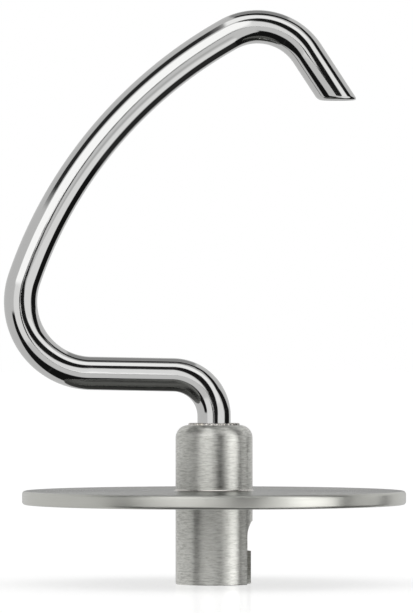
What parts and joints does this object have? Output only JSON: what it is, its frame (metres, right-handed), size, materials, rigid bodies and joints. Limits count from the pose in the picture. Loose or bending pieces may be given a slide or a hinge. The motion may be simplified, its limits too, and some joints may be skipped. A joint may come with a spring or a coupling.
{
  "type": "dough hook",
  "caption": "C-shaped dough hook of bent polished round bar on a turned hub with a bayonet slot and a round guard disc, for a stand mixer.",
  "frame": {"origin": "on the hub's axis at the blind end of the shaft bore, where the end of the mixer's shaft stops", "axes": "+Z runs along the shaft's axis from the bore towards the hook. The bent bar lies in the XZ plane: its long bow is on the -X side and its tip on the +X side. The bayonet slot opens at +X, and the hub's end, at z = -0.038, is the face the part stands on."},
  "size_m": [0.1326, 0.1266, 0.1894],
  "materials": {
    "polished_stainless": "mirror polished stainless steel",
    "turned_stainless": "turned stainless steel with fine level tool marks",
    "brushed_stainless": "brushed stainless steel",
    "dressed_weld": "dressed weld fillet",
    "bright_weld": "bright rippled weld bead"
  },
  "bodies": {
    "root": {"hook_bar": "polished_stainless", "hub_sleeve": "turned_stainless", "guard_disc": "brushed_stainless", "disc_fillet": "dressed_weld", "crown_bead": "bright_weld"}
  },
  "joints": []
}
